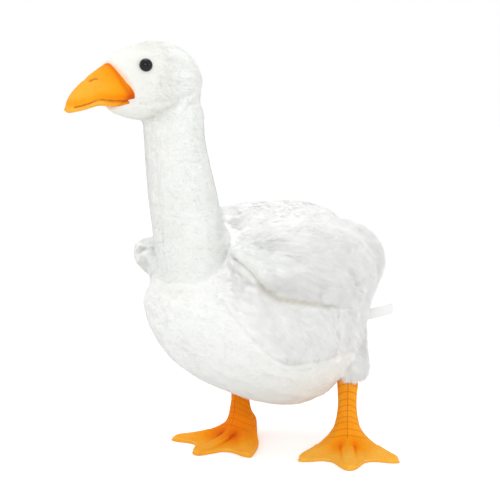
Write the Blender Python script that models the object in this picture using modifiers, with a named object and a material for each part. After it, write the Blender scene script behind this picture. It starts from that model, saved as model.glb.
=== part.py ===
"""A standing plush goose: stuffed body, neck, head and wings, padded bill, glass-look eyes, webbed feet.

Metres, +Z up. The goose faces -Y and its left side is +X. It stands on its two soles at Z = 0.
"""
import math

import bmesh
import bpy
from mathutils import Matrix, Vector
from mathutils.bvhtree import BVHTree

# Seams and fits
SEAM_GAP = 0.0003
RING_POINTS = 12
RING_SWELL = 1.015
OUTSIDE = 0.5

# Torso: a stuffed bag lofted from the chest to the rump.
# Each station: distance behind the chest, top, height of the widest place, underside, half width.
CHEST_Y = -0.203
TORSO_STATIONS = (
    (0.000, 0.188, 0.182, 0.172, 0.012),
    (0.006, 0.194, 0.180, 0.152, 0.030),
    (0.023, 0.199, 0.176, 0.124, 0.047),
    (0.048, 0.224, 0.173, 0.098, 0.065),
    (0.086, 0.266, 0.170, 0.076, 0.080),
    (0.131, 0.267, 0.167, 0.055, 0.089),
    (0.172, 0.264, 0.165, 0.039, 0.090),
    (0.206, 0.262, 0.163, 0.035, 0.088),
    (0.230, 0.258, 0.160, 0.045, 0.082),
    (0.246, 0.251, 0.158, 0.064, 0.071),
    (0.258, 0.234, 0.156, 0.096, 0.054),
    (0.262, 0.204, 0.154, 0.132, 0.025),
)

# Tail lobe: distance behind its root, top, widest place, underside, half width.
TAIL_ROOT_Y = 0.034
TAIL_STATIONS = (
    (0.000, 0.220, 0.180, 0.136, 0.044),
    (0.024, 0.232, 0.182, 0.134, 0.056),
    (0.052, 0.233, 0.184, 0.138, 0.056),
    (0.076, 0.227, 0.186, 0.146, 0.047),
    (0.092, 0.217, 0.188, 0.158, 0.034),
    (0.099, 0.203, 0.188, 0.172, 0.017),
)

# Wings: distance behind the shoulder, outward place, top, widest place, underside, half thickness.
# They lean in at the top and are thickest low down, at the edge of the flap. The right one sags at the shoulder.
SHOULDER_Y = -0.168
RIGHT_SHOULDER_SAG = 0.008
WING_STATIONS = (
    (0.000, 0.060, 0.236, 0.227, 0.218, 0.009),
    (0.008, 0.063, 0.242, 0.222, 0.207, 0.020),
    (0.026, 0.067, 0.243, 0.214, 0.196, 0.028),
    (0.058, 0.068, 0.243, 0.206, 0.183, 0.032),
    (0.102, 0.067, 0.244, 0.193, 0.162, 0.034),
    (0.150, 0.064, 0.244, 0.187, 0.147, 0.034),
    (0.190, 0.059, 0.232, 0.184, 0.141, 0.030),
    (0.220, 0.051, 0.220, 0.181, 0.143, 0.024),
    (0.242, 0.043, 0.209, 0.181, 0.153, 0.016),
    (0.250, 0.039, 0.194, 0.181, 0.168, 0.008),
)

# Neck: a sewn tube that leans forward. Each station: height above its foot, forward lean, radius.
NECK_FOOT_Y = -0.146
NECK_FOOT_Z = 0.160
NECK_STATIONS = (
    (0.000, 0.000, 0.0340),
    (0.040, 0.006, 0.0365),
    (0.075, 0.013, 0.0360),
    (0.102, 0.019, 0.0350),
    (0.130, 0.025, 0.0330),
    (0.160, 0.031, 0.0302),
    (0.185, 0.036, 0.0280),
    (0.208, 0.040, 0.0262),
)

# Head: its middle is set from the top of the neck.
# Each station: forward place, top, widest place, underside, half width.
HEAD_TURN = math.radians(16.0)
HEAD_FORWARD = 0.004
HEAD_RISE = 0.018
HEAD_STATIONS = (
    (-0.0320, 0.005, -0.002, -0.012, 0.010),
    (-0.0295, 0.015, -0.002, -0.023, 0.021),
    (-0.0210, 0.027, -0.003, -0.031, 0.029),
    (-0.0060, 0.0355, -0.003, -0.037, 0.034),
    (0.0140, 0.0370, -0.004, -0.040, 0.034),
    (0.0330, 0.0330, -0.005, -0.038, 0.029),
    (0.0490, 0.0255, -0.005, -0.033, 0.022),
    (0.0580, 0.0170, -0.006, -0.026, 0.013),
)

# Upper bill: forward place from the head's middle, top, widest place, underside, half width.
BILL_STATIONS = (
    (0.0240, 0.0150, -0.006, -0.0160, 0.0230),
    (0.0400, 0.0180, -0.009, -0.0215, 0.0245),
    (0.0530, 0.0165, -0.012, -0.0245, 0.0225),
    (0.0650, 0.0105, -0.015, -0.0255, 0.0195),
    (0.0760, 0.0025, -0.018, -0.0260, 0.0170),
    (0.0860, -0.0055, -0.021, -0.0272, 0.0135),
    (0.0935, -0.0135, -0.024, -0.0285, 0.0095),
    (0.0975, -0.0210, -0.025, -0.0290, 0.0050),
)

# Lower bill: a small padded tongue under the upper bill.
# Each station of its shape: share of its length, share of its width and thickness.
LOWER_BILL_BACK = 0.026
LOWER_BILL_LENGTH = 0.031
LOWER_BILL_WIDTH = 0.034
LOWER_BILL_THICKNESS = 0.0100
LOWER_BILL_MIDDLE = -0.0258
LOWER_BILL_SHAPE = ((0.0, 0.6), (0.08, 0.9), (0.4, 1.0), (0.75, 0.85), (0.95, 0.5), (1.0, 0.25))

# Eyes: a glossy dome on a shank, locked by a washer inside the head.
EYE_DIAMETER = 0.012
EYE_DOME_HEIGHT = 0.0048
EYE_RIM = 0.0010
EYE_SHANK_DIAMETER = 0.003
EYE_SHANK_LENGTH = 0.012
EYE_FORWARD = 0.032
EYE_HEIGHT = 0.013
EYE_SUNK = 0.0012
WASHER_DIAMETER = 0.012
WASHER_THICKNESS = 0.0016
WASHER_DEPTH = 0.005

# Legs and webbed feet
LEG_SPREAD = 0.108
LEG_STAGGER = 0.048
LEFT_TOE_TURN = math.radians(37.5)
RIGHT_TOE_TURN = math.radians(6.0)
ANKLE_RADIUS = 0.0088
HEM_RADIUS = 0.0118
ANKLE_HEIGHT = 0.044
HEM_HEIGHT = 0.080
LEG_TOP_HEIGHT = 0.098
MIDDLE_TOE_LENGTH = 0.083
SIDE_TOE_LENGTH = 0.077
SIDE_TOE_ANGLE = math.radians(43.0)
WEB_LENGTH = 0.060
HEEL_LENGTH = 0.018
TOE_THICKNESS = 0.0062
WEB_THICKNESS = 0.0046
FOOT_EDGE = 0.0020
TOE_POINT = 1.6
SIDE_TOE_POINT = 1.3
HEEL_CURVE = 6.0
# Top of the foot: share of the way in from its edge, height over the web, extra height over a toe.
INSTEP_STATIONS = (
    (0.45, 0.0052, 0.0025),
    (0.82, 0.0096, 0.0036),
)
INSTEP_RADIUS = 0.0123
INSTEP_HEIGHT = 0.022

# Thighs: plush cuffs round the tops of the legs
THIGH_HALF_WIDTH = 0.020
THIGH_HALF_LENGTH = 0.0215
THIGH_HEM_DROP = 0.004
THIGH_OUTWARD_SHIFT = 0.003
# Each station: height above the hem, share of the half width and half length.
THIGH_STATIONS = (
    (0.000, 0.60),
    (0.001, 0.86),
    (0.007, 0.99),
    (0.060, 0.96),
    (0.071, 0.70),
    (0.074, 0.35),
)

# Wires
WIRE_RADIUS = 0.0015
WIRE_CLEARANCE = 0.0004
WIRE_STEP = 0.014
LEG_WIRE_TOE_REACH = 0.030
LEG_WIRE_BEND_REACH = 0.012
LEG_WIRE_SOLE_HEIGHT = 0.0045
LEG_WIRE_BEND_HEIGHT = 0.0055
LEG_WIRE_TOP_HEIGHT = 0.165
LEG_WIRE_TOP_INWARD = 0.020
NECK_WIRE_FOOT_Z = 0.120
NECK_WIRE_FOOT_BACK = 0.006
NECK_WIRE_TOP = 0.004

# Sewn label
LABEL_LENGTH = 0.036
LABEL_SEWN_IN = 0.004
LABEL_WIDTH = 0.0115
LABEL_THICKNESS = 0.0008
LABEL_SIDE_X = 0.060
LABEL_BELOW_WING = 0.005
LABEL_WING_STATION = 7
LABEL_TURN = math.radians(56.0)
LABEL_TILT = math.radians(10.0)

# Colours
WHITE_PLUSH = (0.90, 0.90, 0.89, 1.0)
WHITE_VELVET = (0.86, 0.86, 0.85, 1.0)
ORANGE_VELVET = (0.95, 0.36, 0.04, 1.0)
EYE_BLACK = (0.008, 0.007, 0.006, 1.0)
LABEL_WHITE = (0.88, 0.88, 0.87, 1.0)
STEEL_GREY = (0.55, 0.56, 0.58, 1.0)
NYLON_WHITE = (0.82, 0.82, 0.80, 1.0)


def clear_scene():
    for item in list(bpy.data.objects):
        bpy.data.objects.remove(item, do_unlink=True)


def new_collection(name):
    collection = bpy.data.collections.new(name)
    bpy.context.scene.collection.children.link(collection)
    return collection


def make_material(name, colour, roughness, metallic=0.0):
    material = bpy.data.materials.new(name)
    material.use_nodes = True
    shader = material.node_tree.nodes["Principled BSDF"]
    shader.inputs["Base Color"].default_value = colour
    shader.inputs["Roughness"].default_value = roughness
    shader.inputs["Metallic"].default_value = metallic
    return material


def add_object(name, mesh, material):
    thing = bpy.data.objects.new(name, mesh)
    PARTS.objects.link(thing)
    mesh.materials.clear()
    mesh.materials.append(material)
    mesh.shade_smooth()
    return thing


def oval_ring(centre, side, up, half_width, rise, drop):
    """Points of a closed oval whose halves may differ in height, a little wide as smoothing draws it in."""
    points = []
    for index in range(RING_POINTS):
        angle = 2.0 * math.pi * index / RING_POINTS
        height = math.sin(angle)
        reach = (rise if height > 0.0 else drop) * RING_SWELL
        points.append(centre + side * (half_width * RING_SWELL * math.cos(angle)) + up * (reach * height))
    return points


def loft(name, rings, material, flat_start=False):
    """Join rings of equal point counts into one closed body and smooth it."""
    mesh = bpy.data.meshes.new(name)
    body = bmesh.new()
    loops = [[body.verts.new(point) for point in ring] for ring in rings]
    count = len(rings[0])
    for lower, upper in zip(loops, loops[1:]):
        for index in range(count):
            after = (index + 1) % count
            body.faces.new((lower[index], lower[after], upper[after], upper[index]))
    first = body.faces.new(list(reversed(loops[0])))
    body.faces.new(loops[-1])
    if flat_start:
        crease = body.edges.layers.float.new("crease_edge")
        for edge in first.edges:
            edge[crease] = 1.0
    bmesh.ops.recalc_face_normals(body, faces=body.faces)
    body.to_mesh(mesh)
    body.free()
    thing = add_object(name, mesh, material)
    smooth = thing.modifiers.new("Smooth", "SUBSURF")
    smooth.levels = 1
    smooth.render_levels = 1
    split = thing.modifiers.new("Triangles", "TRIANGULATE")
    split.quad_method = "FIXED"
    return thing


def station_loft(name, stations, origin, forward, side, material):
    """Loft ovals along a level line; a station gives place, top, widest place, underside, half width."""
    up = Vector((0.0, 0.0, 1.0))
    rings = []
    for place, top, widest, underside, half_width in stations:
        centre = origin + forward * place + up * widest
        rings.append(oval_ring(centre, side, up, half_width, top - widest, widest - underside))
    return loft(name, rings, material)


def evaluated_mesh(thing):
    graph = bpy.context.evaluated_depsgraph_get()
    return bpy.data.meshes.new_from_object(thing.evaluated_get(graph), depsgraph=graph)


def as_cutter(mesh, name):
    cutter = bpy.data.objects.new(name, mesh)
    CUTTERS.objects.link(cutter)
    cutter.hide_render = True
    cutter.display_type = "WIRE"
    return cutter


def grown_copy(thing, gap=SEAM_GAP):
    """A cutter in the shape of a finished piece, larger all round by the seam gap."""
    mesh = evaluated_mesh(thing)
    mesh.transform(thing.matrix_world)
    offsets = [vertex.co + vertex.normal * gap for vertex in mesh.vertices]
    for vertex, place in zip(mesh.vertices, offsets):
        vertex.co = place
    return as_cutter(mesh, thing.name + "_clearance")


def cut(thing, cutter):
    boolean = thing.modifiers.new("Cut_" + cutter.name, "BOOLEAN")
    boolean.operation = "DIFFERENCE"
    boolean.solver = "EXACT"
    boolean.object = cutter


def turned_piece(name, profile, material, ring=False, steps=14):
    """A body of revolution about Z; the profile runs down its outer side, and round again for a ring."""
    mesh = bpy.data.meshes.new(name)
    outline = bmesh.new()
    points = [outline.verts.new((radius, 0.0, height)) for radius, height in profile]
    for one, other in zip(points, points[1:]):
        outline.edges.new((one, other))
    if ring:
        outline.edges.new((points[-1], points[0]))
    outline.to_mesh(mesh)
    outline.free()
    thing = add_object(name, mesh, material)
    screw = thing.modifiers.new("Turn", "SCREW")
    screw.axis = "Z"
    screw.steps = steps
    screw.render_steps = steps
    screw.use_merge_vertices = True
    screw.merge_threshold = 0.00001
    return thing


def smooth_route(points):
    """Evenly read points along a smooth curve through the given ones."""
    padded = [points[0] * 2.0 - points[1]] + list(points) + [points[-1] * 2.0 - points[-2]]
    route = []
    for before, start, end, after in zip(padded, padded[1:], padded[2:], padded[3:]):
        pieces = max(1, round((end - start).length / WIRE_STEP))
        for index in range(pieces):
            t = index / pieces
            route.append(0.5 * (
                2.0 * start + (end - before) * t
                + (2.0 * before - 5.0 * start + 4.0 * end - after) * t ** 2
                + (3.0 * start - before - 3.0 * end + after) * t ** 3))
    route.append(points[-1].copy())
    return route


def wire_mesh(name, route, radius):
    curve = bpy.data.curves.new(name, "CURVE")
    curve.dimensions = "3D"
    curve.bevel_depth = radius
    curve.bevel_resolution = 2
    curve.use_fill_caps = True
    spline = curve.splines.new("POLY")
    spline.points.add(len(route) - 1)
    for control, place in zip(spline.points, route):
        control.co = (*place, 1.0)
    tube = bpy.data.objects.new(name + "_route", curve)
    PARTS.objects.link(tube)
    mesh = evaluated_mesh(tube)
    body = bmesh.new()
    body.from_mesh(mesh)
    bmesh.ops.remove_doubles(body, verts=body.verts, dist=0.00001)
    bmesh.ops.recalc_face_normals(body, faces=body.faces)
    body.to_mesh(mesh)
    body.free()
    bpy.data.objects.remove(tube, do_unlink=True)
    return mesh


def make_wire(name, points, material, neighbours):
    """A round wire along a smooth route, and its channel through each neighbour."""
    route = smooth_route(points)
    wire = add_object(name, wire_mesh(name, route, WIRE_RADIUS), material)
    start = (route[0] - route[1]).normalized() * WIRE_CLEARANCE
    end = (route[-1] - route[-2]).normalized() * WIRE_CLEARANCE
    longer = [route[0] + start] + route[1:-1] + [route[-1] + end]
    channel_mesh = wire_mesh(name + "_channel", longer, WIRE_RADIUS + WIRE_CLEARANCE)
    channel = as_cutter(channel_mesh, name + "_channel")
    for neighbour in neighbours:
        cut(neighbour, channel)
    return wire


def make_wing(name, sign, shoulder_sag):
    side = Vector((sign, 0.0, 0.0))
    up = Vector((0.0, 0.0, 1.0))
    length = WING_STATIONS[-1][0]
    rings = []
    for place, outward, top, widest, underside, half_thickness in WING_STATIONS:
        sag = shoulder_sag * (1.0 - place / length)
        centre = Vector((sign * outward, SHOULDER_Y + place, widest - sag))
        rings.append(oval_ring(centre, side, up, half_thickness, top - widest, widest - underside))
    return loft(name, rings, PLUSH)


def make_neck():
    side = Vector((1.0, 0.0, 0.0))
    back = Vector((0.0, 1.0, 0.0))
    rings = []
    for rise, lean, radius in NECK_STATIONS:
        centre = Vector((0.0, NECK_FOOT_Y - lean, NECK_FOOT_Z + rise))
        rings.append(oval_ring(centre, side, back, radius, radius, radius))
    return loft("neck", rings, VELVET)


def toe_shape(angle):
    """Length of the sole and how much of a toe there is, at an angle from the middle toe."""
    turn = abs(angle)
    web_angle = SIDE_TOE_ANGLE / 2.0
    if turn <= web_angle:
        share = (1.0 + math.cos(math.pi * turn / web_angle)) / 2.0
        return WEB_LENGTH + (MIDDLE_TOE_LENGTH - WEB_LENGTH) * share ** TOE_POINT, share
    if turn <= SIDE_TOE_ANGLE:
        share = (1.0 + math.cos(math.pi * (SIDE_TOE_ANGLE - turn) / web_angle)) / 2.0
        return WEB_LENGTH + (SIDE_TOE_LENGTH - WEB_LENGTH) * share ** SIDE_TOE_POINT, share
    share = ((math.pi - turn) / (math.pi - SIDE_TOE_ANGLE)) ** HEEL_CURVE
    return HEEL_LENGTH + (SIDE_TOE_LENGTH - HEEL_LENGTH) * share, share


def foot_angles():
    """Angles round the ankle, closer together where the toes are."""
    between_toes = [share * SIDE_TOE_ANGLE for share in (0.14, 0.5, 0.86, 1.0)]
    toward_heel = [SIDE_TOE_ANGLE + turn for turn in (0.15, 0.55, 1.4)]
    one_side = between_toes + toward_heel
    return [0.0] + one_side + [math.pi] + [-angle for angle in reversed(one_side)]


def make_leg(name, sign, toe_turn):
    """Leg and webbed foot as one sewn piece, standing on a flat sole."""
    ankle = Vector((sign * LEG_SPREAD / 2.0, sign * LEG_STAGGER / 2.0, 0.0))
    rings = [[] for _ in range(7 + len(INSTEP_STATIONS))]
    for angle in foot_angles():
        length, toe = toe_shape(angle)
        heading = toe_turn + angle
        direction = Vector((math.sin(heading), -math.cos(heading), 0.0))
        thickness = WEB_THICKNESS + (TOE_THICKNESS - WEB_THICKNESS) * toe
        outline = [(length - FOOT_EDGE, 0.0), (length, WEB_THICKNESS / 2.0), (length - FOOT_EDGE, thickness)]
        for share, height, extra in INSTEP_STATIONS:
            outline.append((length + (ANKLE_RADIUS - length) * share, height + extra * toe))
        outline += [
            (INSTEP_RADIUS, INSTEP_HEIGHT),
            (ANKLE_RADIUS, ANKLE_HEIGHT),
            (HEM_RADIUS, HEM_HEIGHT),
            (HEM_RADIUS, LEG_TOP_HEIGHT),
        ]
        for ring, (reach, height) in zip(rings, outline):
            ring.append(ankle + direction * reach + Vector((0.0, 0.0, height)))
    return loft(name, rings, ORANGE, flat_start=True)


def make_thigh(name, sign):
    side = Vector((1.0, 0.0, 0.0))
    back = Vector((0.0, 1.0, 0.0))
    outward = LEG_SPREAD / 2.0 + THIGH_OUTWARD_SHIFT
    foot = Vector((sign * outward, sign * LEG_STAGGER / 2.0, HEM_HEIGHT - THIGH_HEM_DROP))
    rings = []
    for rise, share in THIGH_STATIONS:
        half_length = THIGH_HALF_LENGTH * share
        centre = foot + Vector((0.0, 0.0, rise))
        rings.append(oval_ring(centre, side, back, THIGH_HALF_WIDTH * share, half_length, half_length))
    return loft(name, rings, PLUSH)


def surface_point(thing, start, direction):
    """Where a ray first meets a piece, and the way the surface faces there."""
    mesh = evaluated_mesh(thing)
    tree = BVHTree.FromPolygons([v.co for v in mesh.vertices], [p.vertices for p in mesh.polygons])
    place, normal, _, _ = tree.ray_cast(start, direction)
    bpy.data.meshes.remove(mesh)
    return place, normal


def dome_profile(gap=0.0):
    """Eye dome, from its top down to the start of the shank."""
    steps = 4
    radius = EYE_DIAMETER / 2.0 + gap
    profile = []
    for index in range(steps + 1):
        angle = math.pi / 2.0 * index / steps
        profile.append((radius * math.sin(angle), (EYE_DOME_HEIGHT + gap) * math.cos(angle)))
    return profile + [(radius, -EYE_RIM - gap), (EYE_SHANK_DIAMETER / 2.0 + gap, -EYE_RIM - gap)]


def shank_profile(gap=0.0):
    shank = EYE_SHANK_DIAMETER / 2.0 + gap
    return [(shank, -EYE_SHANK_LENGTH - gap), (0.0, -EYE_SHANK_LENGTH - gap)]


def washer_profile():
    outer = WASHER_DIAMETER / 2.0
    inner = EYE_SHANK_DIAMETER / 2.0 + SEAM_GAP
    top = -WASHER_DEPTH
    bottom = -WASHER_DEPTH - WASHER_THICKNESS
    return [(outer, top), (outer, bottom), (inner, bottom), (inner, top)]


def eye_pocket_profile():
    """The room that the eye, its shank and its washer take up in the head."""
    shank = EYE_SHANK_DIAMETER / 2.0 + SEAM_GAP
    outer = WASHER_DIAMETER / 2.0 + SEAM_GAP
    top = -WASHER_DEPTH + SEAM_GAP
    bottom = -WASHER_DEPTH - WASHER_THICKNESS - SEAM_GAP
    pocket = [(shank, top), (outer, top), (outer, bottom), (shank, bottom)]
    return dome_profile(SEAM_GAP) + pocket + shank_profile(SEAM_GAP)


def make_eye(side_name, side):
    start = HEAD_MIDDLE + HEAD_AHEAD * EYE_FORWARD + Vector((0.0, 0.0, EYE_HEIGHT)) + side * OUTSIDE
    place, normal = surface_point(head, start, -side)
    frame = normal.to_track_quat("Z", "Y").to_matrix().to_4x4()
    seat = Matrix.Translation(place - normal * EYE_SUNK) @ frame
    eye = turned_piece(side_name + "_eye", dome_profile() + shank_profile(), GLOSS_BLACK)
    washer = turned_piece(side_name + "_eye_washer", washer_profile(), NYLON, ring=True)
    pocket = turned_piece(side_name + "_eye_pocket", eye_pocket_profile(), NYLON)
    for thing in (eye, washer):
        thing.matrix_world = seat
    bpy.context.view_layer.update()
    pocket_mesh = evaluated_mesh(pocket)
    pocket_mesh.transform(seat)
    bpy.data.objects.remove(pocket, do_unlink=True)
    cut(head, as_cutter(pocket_mesh, side_name + "_eye_pocket"))


def make_label():
    """The label hangs from the seam under the rear of the left wing."""
    _, _, _, _, wing_underside, _ = WING_STATIONS[LABEL_WING_STATION]
    label_height = wing_underside - LABEL_BELOW_WING
    start = Vector((LABEL_SIDE_X, OUTSIDE, label_height))
    place, _ = surface_point(torso, start, Vector((0.0, -1.0, 0.0)))
    mesh = bpy.data.meshes.new("sewn_label")
    body = bmesh.new()
    bmesh.ops.create_cube(body, size=1.0)
    bmesh.ops.scale(body, vec=(LABEL_LENGTH, LABEL_THICKNESS, LABEL_WIDTH), verts=body.verts)
    bmesh.ops.translate(body, vec=(LABEL_LENGTH / 2.0 - LABEL_SEWN_IN, 0.0, 0.0), verts=body.verts)
    turn = Matrix.Rotation(LABEL_TURN, 4, "Z") @ Matrix.Rotation(-LABEL_TILT, 4, "Y")
    bmesh.ops.transform(body, matrix=Matrix.Translation(place) @ turn, verts=body.verts)
    body.to_mesh(mesh)
    body.free()
    return add_object("sewn_label", mesh, LABEL)


clear_scene()
PARTS = new_collection("plush_goose")
CUTTERS = new_collection("plush_goose_cutters")
PLUSH = make_material("white_plush", WHITE_PLUSH, 0.95)
VELVET = make_material("white_velvet", WHITE_VELVET, 0.9)
ORANGE = make_material("orange_velvet", ORANGE_VELVET, 0.85)
GLOSS_BLACK = make_material("gloss_black", EYE_BLACK, 0.08)
LABEL = make_material("woven_label", LABEL_WHITE, 0.8)
STEEL = make_material("steel_wire", STEEL_GREY, 0.35, 1.0)
NYLON = make_material("white_nylon", NYLON_WHITE, 0.5)

BACKWARD = Vector((0.0, 1.0, 0.0))
LEFT = Vector((1.0, 0.0, 0.0))
torso = station_loft("torso", TORSO_STATIONS, Vector((0.0, CHEST_Y, 0.0)), BACKWARD, -LEFT, PLUSH)
tail = station_loft("tail", TAIL_STATIONS, Vector((0.0, TAIL_ROOT_Y, 0.0)), BACKWARD, -LEFT, PLUSH)
left_wing = make_wing("left_wing", 1.0, 0.0)
right_wing = make_wing("right_wing", -1.0, RIGHT_SHOULDER_SAG)
neck = make_neck()

NECK_TOP = Vector((0.0, NECK_FOOT_Y - NECK_STATIONS[-1][1], NECK_FOOT_Z + NECK_STATIONS[-1][0]))
HEAD_AHEAD = Vector((-math.sin(HEAD_TURN), -math.cos(HEAD_TURN), 0.0))
HEAD_LEFT = Vector((math.cos(HEAD_TURN), -math.sin(HEAD_TURN), 0.0))
HEAD_MIDDLE = NECK_TOP + HEAD_AHEAD * HEAD_FORWARD + Vector((0.0, 0.0, HEAD_RISE))
head = station_loft("head", HEAD_STATIONS, HEAD_MIDDLE, HEAD_AHEAD, HEAD_LEFT, PLUSH)
upper_beak = station_loft("upper_beak", BILL_STATIONS, HEAD_MIDDLE, HEAD_AHEAD, HEAD_LEFT, ORANGE)
lower_stations = []
for place_share, size_share in LOWER_BILL_SHAPE:
    lower_stations.append((
        LOWER_BILL_BACK + LOWER_BILL_LENGTH * place_share,
        LOWER_BILL_MIDDLE + LOWER_BILL_THICKNESS / 2.0 * size_share,
        LOWER_BILL_MIDDLE,
        LOWER_BILL_MIDDLE - LOWER_BILL_THICKNESS / 2.0 * size_share,
        LOWER_BILL_WIDTH / 2.0 * size_share))
lower_beak = station_loft("lower_beak", lower_stations, HEAD_MIDDLE, HEAD_AHEAD, HEAD_LEFT, ORANGE)

left_leg = make_leg("left_leg", 1.0, LEFT_TOE_TURN)
right_leg = make_leg("right_leg", -1.0, RIGHT_TOE_TURN)
left_thigh = make_thigh("left_thigh", 1.0)
right_thigh = make_thigh("right_thigh", -1.0)
sewn_label = make_label()
bpy.context.view_layer.update()

# Seams: each piece is cut back from the forms that it is sewn to, before any of them is cut.
torso_clearance = grown_copy(torso)
tail_clearance = grown_copy(tail)
neck_clearance = grown_copy(neck)
head_clearance = grown_copy(head)
bill_clearance = grown_copy(upper_beak)
lower_bill_clearance = grown_copy(lower_beak)
left_wing_clearance = grown_copy(left_wing)
right_wing_clearance = grown_copy(right_wing)
left_leg_clearance = grown_copy(left_leg)
right_leg_clearance = grown_copy(right_leg)

for thing in (neck, tail, left_wing, right_wing, left_thigh, right_thigh, sewn_label):
    cut(thing, torso_clearance)
for thing in (left_wing, right_wing, left_thigh, right_thigh):
    cut(thing, tail_clearance)
for thing in (left_wing, right_wing):
    cut(thing, neck_clearance)
cut(left_thigh, left_wing_clearance)
cut(right_thigh, right_wing_clearance)
cut(left_thigh, left_leg_clearance)
cut(right_thigh, right_leg_clearance)
cut(torso, left_leg_clearance)
cut(torso, right_leg_clearance)
cut(neck, head_clearance)
cut(upper_beak, head_clearance)
cut(lower_beak, bill_clearance)
cut(head, lower_bill_clearance)
make_eye("left", HEAD_LEFT)
make_eye("right", -HEAD_LEFT)

# Wires in the legs and the neck, each in its own channel
for name, sign, toe_turn, neighbours in (
        ("left_leg_wire", 1.0, LEFT_TOE_TURN, (left_leg, left_thigh, torso)),
        ("right_leg_wire", -1.0, RIGHT_TOE_TURN, (right_leg, right_thigh, torso))):
    ankle = Vector((sign * LEG_SPREAD / 2.0, sign * LEG_STAGGER / 2.0, 0.0))
    ahead = Vector((math.sin(toe_turn), -math.cos(toe_turn), 0.0))
    make_wire(name, [
        ankle + ahead * LEG_WIRE_TOE_REACH + Vector((0.0, 0.0, LEG_WIRE_SOLE_HEIGHT)),
        ankle + ahead * LEG_WIRE_BEND_REACH + Vector((0.0, 0.0, LEG_WIRE_BEND_HEIGHT)),
        ankle + Vector((0.0, 0.0, INSTEP_HEIGHT)),
        ankle + Vector((0.0, 0.0, ANKLE_HEIGHT)),
        ankle + Vector((0.0, 0.0, LEG_TOP_HEIGHT)),
        ankle + Vector((-sign * LEG_WIRE_TOP_INWARD, 0.0, LEG_WIRE_TOP_HEIGHT)),
    ], STEEL, neighbours)

neck_axis = [Vector((0.0, NECK_FOOT_Y - lean, NECK_FOOT_Z + rise)) for rise, lean, _ in NECK_STATIONS[1::2]]
make_wire("neck_wire", [
    Vector((0.0, NECK_FOOT_Y + NECK_WIRE_FOOT_BACK, NECK_WIRE_FOOT_Z)),
    *neck_axis,
    HEAD_MIDDLE + Vector((0.0, 0.0, NECK_WIRE_TOP)),
], STEEL, (torso, neck, head))

# The origin is the middle of the object's footprint on the floor.
bpy.context.view_layer.update()
corners = []
for thing in PARTS.objects:
    graph = bpy.context.evaluated_depsgraph_get()
    mesh = thing.evaluated_get(graph).to_mesh()
    corners += [thing.matrix_world @ vertex.co for vertex in mesh.vertices]
    thing.evaluated_get(graph).to_mesh_clear()
SHIFT = Vector((
    -(min(c.x for c in corners) + max(c.x for c in corners)) / 2.0,
    -(min(c.y for c in corners) + max(c.y for c in corners)) / 2.0,
    -min(c.z for c in corners)))
for thing in list(PARTS.objects) + list(CUTTERS.objects):
    thing.location += SHIFT
bpy.context.view_layer.update()
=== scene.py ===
"""Dresses the plush goose: stuffed skins with pile, napped bill and feet, glossy eyes, white studio."""
import math

import bmesh
import bpy
import numpy as np
from mathutils import Matrix, Vector
from mathutils.bvhtree import BVHTree
from mathutils.kdtree import KDTree


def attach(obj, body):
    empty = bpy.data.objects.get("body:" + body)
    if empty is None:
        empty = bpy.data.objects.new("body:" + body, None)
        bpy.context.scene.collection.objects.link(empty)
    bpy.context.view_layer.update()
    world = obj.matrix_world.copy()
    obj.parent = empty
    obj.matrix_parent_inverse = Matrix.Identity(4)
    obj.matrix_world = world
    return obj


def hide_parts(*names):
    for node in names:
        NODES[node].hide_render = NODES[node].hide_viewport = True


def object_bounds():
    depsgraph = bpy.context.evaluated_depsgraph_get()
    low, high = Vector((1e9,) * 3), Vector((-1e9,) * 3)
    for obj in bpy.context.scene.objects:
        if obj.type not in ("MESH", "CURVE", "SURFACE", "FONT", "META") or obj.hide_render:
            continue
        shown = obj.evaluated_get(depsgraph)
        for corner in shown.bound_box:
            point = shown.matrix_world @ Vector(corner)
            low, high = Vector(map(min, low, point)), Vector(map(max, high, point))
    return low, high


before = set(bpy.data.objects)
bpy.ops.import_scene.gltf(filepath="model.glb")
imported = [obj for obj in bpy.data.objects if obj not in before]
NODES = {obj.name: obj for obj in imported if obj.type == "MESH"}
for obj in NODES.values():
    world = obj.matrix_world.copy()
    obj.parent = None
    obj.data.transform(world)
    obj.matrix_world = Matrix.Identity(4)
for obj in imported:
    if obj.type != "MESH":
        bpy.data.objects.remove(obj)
CAD_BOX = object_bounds()

# The photograph's camera: where it stands, its heading from +Y, its fall and its lens on a 36 mm sensor.
CAMERA_PLACE = (0.7319, -0.8777, 0.396)
CAMERA_HEADING = math.radians(40.1967)
CAMERA_FALL = math.radians(8.88)
CAMERA_LENS = 83.88
CAMERA_SENSOR = 36.0
PHOTO_SIZE = 500.0

# The goose's plane of symmetry, and the middle and heading of its head
MIDDLE_X = -0.0132
HEAD_MIDDLE = Vector((-0.0143, -0.1142, 0.386))
HEAD_TURN = math.radians(16.0)
HEAD_AHEAD = Vector((-math.sin(HEAD_TURN), -math.cos(HEAD_TURN), 0.0))
HEAD_LEFT = Vector((math.cos(HEAD_TURN), -math.sin(HEAD_TURN), 0.0))

# Stuffed skins. For each: how deep it lies under the tips of its pile, the tufts' length and number, and how
# strongly painted shade darkens its tufts in streaks between the clumps
PILE = {
    "torso": (0.0026, 0.0085, 170000, 0.38),
    "tail": (0.0032, 0.0100, 50000, 0.38),
    "left_wing": (0.0032, 0.0100, 90000, 0.30),
    "right_wing": (0.0032, 0.0100, 90000, 0.30),
    "left_thigh": (0.0026, 0.0090, 22000, 0.38),
    "right_thigh": (0.0026, 0.0090, 12000, 0.38),
    "neck": (0.0010, 0.0017, 130000, 0.50),
    "head": (0.0014, 0.0030, 100000, 0.10),
}
STUFFED = tuple(PILE)
WINGS = ("left_wing", "right_wing")
THIGHS = ("left_thigh", "right_thigh")
SKIN_VOXEL = 0.0022
SKIN_OVERLAP = 0.0005
PILE_WIDTH = 0.0010
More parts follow.
